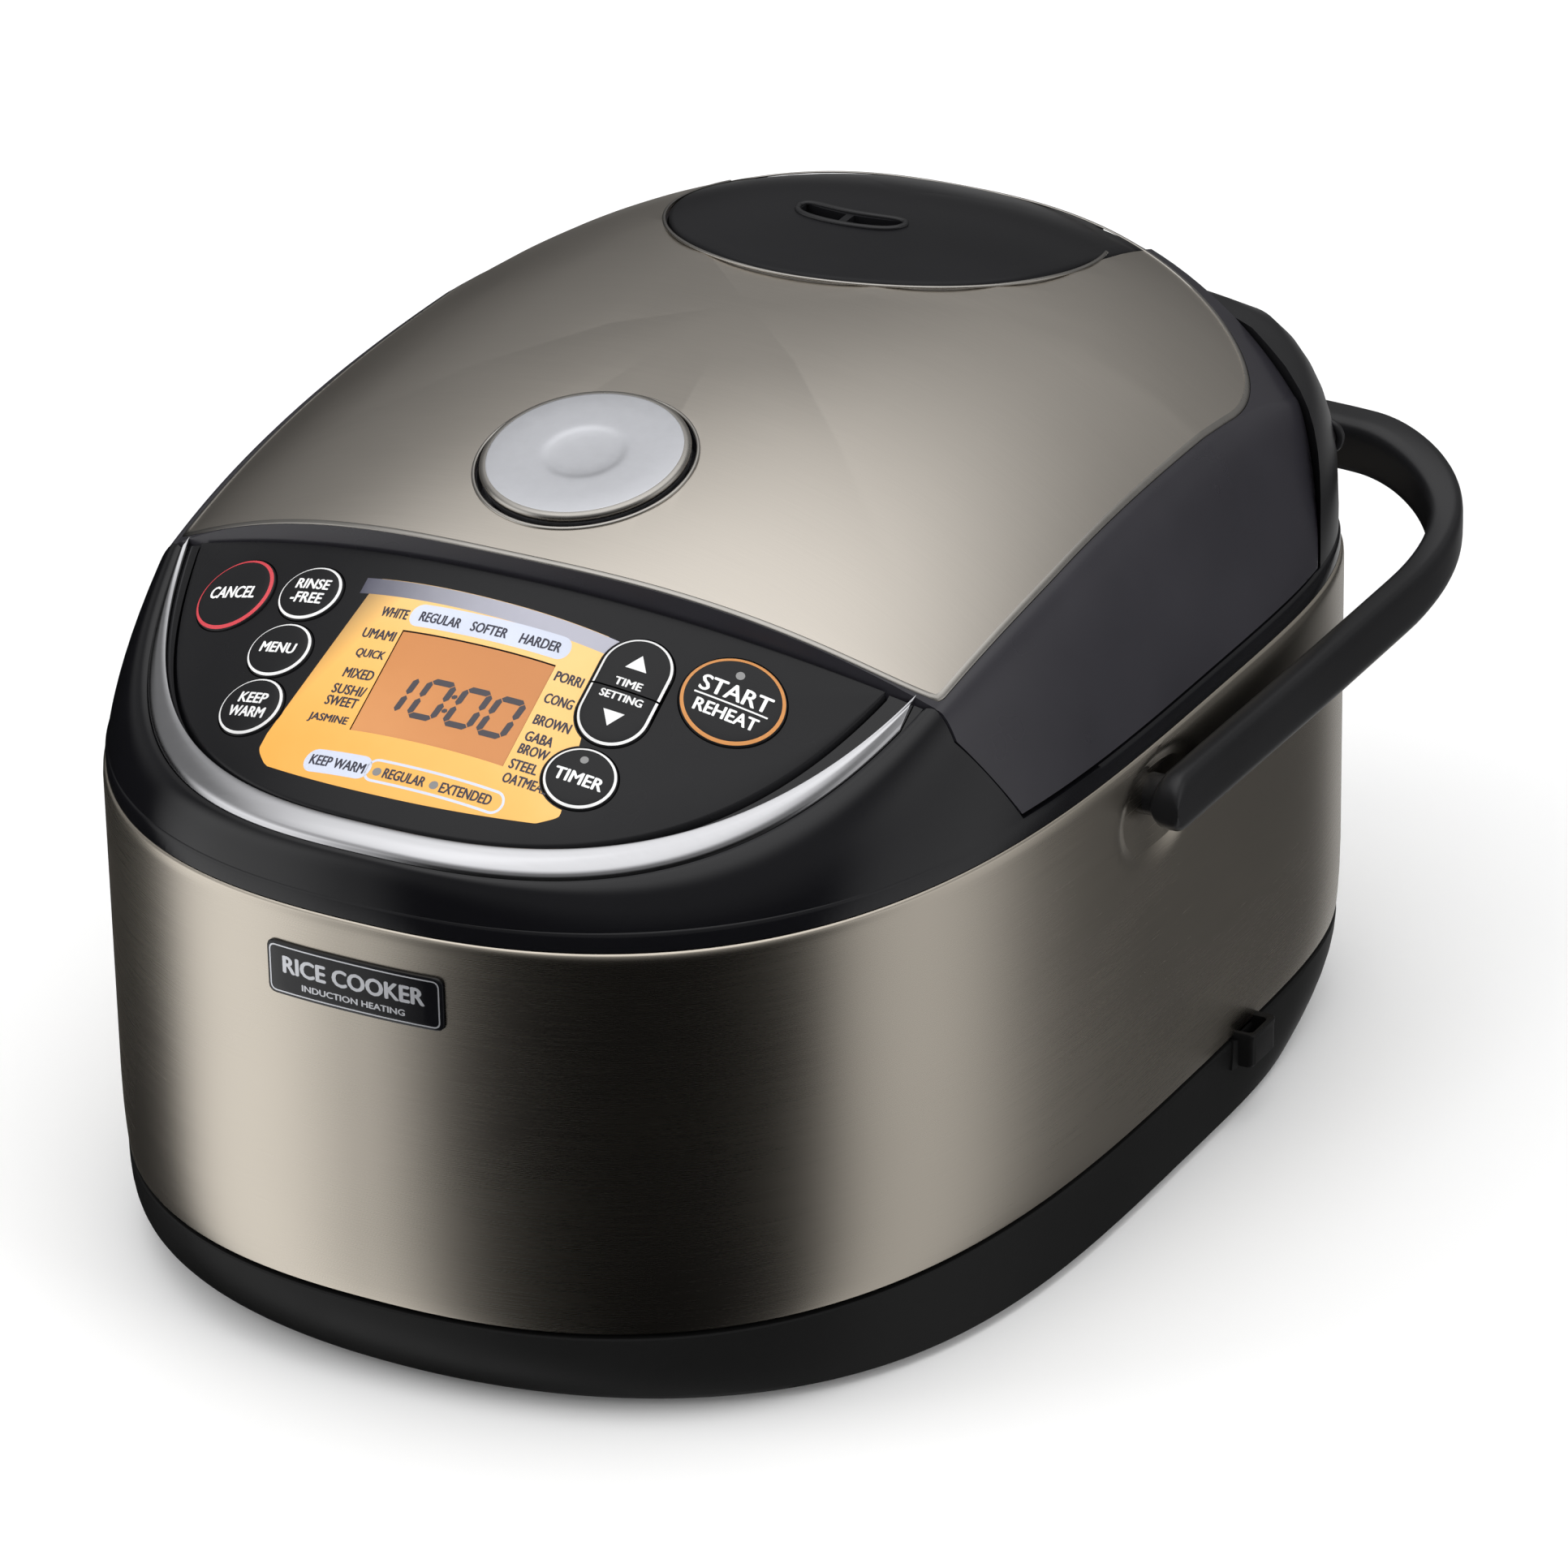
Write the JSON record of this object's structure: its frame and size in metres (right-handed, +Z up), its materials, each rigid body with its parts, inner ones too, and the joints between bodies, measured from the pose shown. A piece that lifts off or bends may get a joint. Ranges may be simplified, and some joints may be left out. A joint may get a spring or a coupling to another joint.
{
  "type": "electric rice cooker",
  "caption": "Electric pressure rice cooker with brushed steel body, hinged crowned lid, sloping control panel with display and keys, carry handle and removable cooking pot.",
  "frame": {"origin": "centre of the bounding box in plan, on the plane the feet stand on", "axes": "+Z up, control panel and badge towards -Y, +X to the right of someone facing the panel"},
  "size_m": [0.3048, 0.405, 0.2416],
  "materials": {
    "brushed_steel": "fine horizontal brushing, warm grey",
    "gloss_black": "gloss",
    "matte_black": "fine matte texture",
    "key_black": "semi-gloss key caps with a light ring",
    "bright_trim": "bright plated arc",
    "silver_plastic": "silver paint, satin",
    "amber_lcd": "backlit amber window",
    "rubber_foot": "moulded",
    "inner_plastic": "heat resistant moulding",
    "bare_aluminium": "satin",
    "steel_pin": "ground",
    "silicone": "moulded, translucent grey",
    "nonstick_pot": "dark non-stick coating",
    "copper_coil": "varnished winding",
    "circuit_board": "solder mask"
  },
  "bodies": {
    "housing": {"body_band": "brushed_steel", "base_shell": "matte_black", "spatula_socket": "matte_black", "foot_1": "rubber_foot", "foot_2": "rubber_foot", "foot_3": "rubber_foot", "foot_4": "rubber_foot", "shoulder_frame": "gloss_black", "control_panel": "gloss_black", "lcd_display": "amber_lcd", "chrome_trim": "bright_trim", "badge_plate": "silver_plastic", "latch_catch": "bare_aluminium", "hinge_cover": "gloss_black", "hinge_pin": "steel_pin", "pivot_bushing_right": "matte_black", "pivot_bushing_left": "matte_black", "inner_pot": "nonstick_pot", "pot_well": "inner_plastic", "bottom_coil": "copper_coil", "side_coil": "copper_coil", "coil_carrier": "inner_plastic", "sensor_guide": "inner_plastic", "control_board": "circuit_board", "power_board": "circuit_board", "heat_sink": "bare_aluminium", "fan_frame": "inner_plastic", "reel_housing": "inner_plastic", "cord_outlet": "rubber_foot"},
    "lid": {"lid_shell": "gloss_black", "lid_plate": "brushed_steel", "steam_duct": "inner_plastic", "latch_pin": "steel_pin", "lid_liner": "bare_aluminium", "inner_lid": "bare_aluminium", "lid_gasket": "silicone", "pressure_valve": "steel_pin"},
    "vent_cover": {"vent_cover": "gloss_black"},
    "open_button": {"open_button": "silver_plastic"},
    "latch_hook": {"latch_hook": "inner_plastic"},
    "handle": {"handle": "gloss_black"},
    "thermal_sensor": {"thermal_sensor": "bare_aluminium"},
    "fan_impeller": {"fan_impeller": "inner_plastic"},
    "reel_drum": {"reel_drum": "inner_plastic"},
    "cancel_button": {"cancel_button": "key_black"},
    "rinse_button": {"rinse_button": "key_black"},
    "menu_button": {"menu_button": "key_black"},
    "keep_warm_button": {"keep_warm_button": "key_black"},
    "timer_button": {"timer_button": "key_black"},
    "start_button": {"start_button": "key_black"},
    "time_up_button": {"time_up_button": "key_black"},
    "time_down_button": {"time_down_button": "key_black"}
  },
  "joints": [
    {"name": "lid_hinge", "type": "hinge", "parent": "housing", "child": "lid", "pos_m": [0, 0.15, 0.208], "axis": [-1, 0, 0], "range_deg": [0, 85]},
    {"name": "handle_pivot", "type": "hinge", "parent": "housing", "child": "handle", "pos_m": [0, -0.01, 0.128], "axis": [1, 0, 0], "range_deg": [0, 80]},
    {"name": "open_button_press", "type": "slide", "parent": "lid", "child": "open_button", "axis": [0, 0.2297, -0.9733], "range_m": [0, 0.0025], "stiffness_N_per_m": 500, "springref_m": -0.002},
    {"name": "latch_swing", "type": "hinge", "parent": "lid", "child": "latch_hook", "pos_m": [0, -0.084, 0.184], "axis": [1, 0, 0], "range_deg": [0, 8]},
    {"name": "vent_cover_lift", "type": "slide", "parent": "lid", "child": "vent_cover", "axis": [0, 0, 1], "range_m": [0, 0.012]},
    {"name": "sensor_travel", "type": "slide", "parent": "housing", "child": "thermal_sensor", "axis": [0, 0, -1], "range_m": [0, 0.002], "stiffness_N_per_m": 300, "springref_m": -0.004},
    {"name": "fan_spin", "type": "hinge", "parent": "housing", "child": "fan_impeller", "pos_m": [0, -0.112, 0.0148], "axis": [0, 0, 1], "continuous": true},
    {"name": "reel_spin", "type": "hinge", "parent": "housing", "child": "reel_drum", "pos_m": [0, 0.092, 0.014], "axis": [0, 0, 1], "continuous": true},
    {"name": "cancel_press", "type": "slide", "parent": "housing", "child": "cancel_button", "axis": [0.3265, 0.4821, -0.813], "range_m": [0, 0.0008], "stiffness_N_per_m": 400, "springref_m": -0.001},
    {"name": "rinse_press", "type": "slide", "parent": "housing", "child": "rinse_button", "axis": [0.2124, 0.4984, -0.8405], "range_m": [0, 0.0008], "stiffness_N_per_m": 400, "springref_m": -0.001},
    {"name": "menu_press", "type": "slide", "parent": "housing", "child": "menu_button", "axis": [0.2124, 0.4984, -0.8405], "range_m": [0, 0.0008], "stiffness_N_per_m": 400, "springref_m": -0.001},
    {"name": "keep_warm_press", "type": "slide", "parent": "housing", "child": "keep_warm_button", "axis": [0.2089, 0.4988, -0.8412], "range_m": [0, 0.0008], "stiffness_N_per_m": 400, "springref_m": -0.001},
    {"name": "timer_press", "type": "slide", "parent": "housing", "child": "timer_button", "axis": [-0.179, 0.5018, -0.8462], "range_m": [0, 0.0008], "stiffness_N_per_m": 400, "springref_m": -0.001},
    {"name": "start_press", "type": "slide", "parent": "housing", "child": "start_button", "axis": [-0.2965, 0.4871, -0.8215], "range_m": [0, 0.0008], "stiffness_N_per_m": 400, "springref_m": -0.001},
    {"name": "time_up_press", "type": "slide", "parent": "housing", "child": "time_up_button", "axis": [-0.1795, 0.5018, -0.8462], "range_m": [0, 0.0008], "stiffness_N_per_m": 400, "springref_m": -0.001},
    {"name": "time_down_press", "type": "slide", "parent": "housing", "child": "time_down_button", "axis": [-0.1795, 0.5018, -0.8462], "range_m": [0, 0.0008], "stiffness_N_per_m": 400, "springref_m": -0.001}
  ],
  "couplings": [
    {"joint": "latch_swing", "follows": "open_button_press", "rad_per_m": 50}
  ]
}
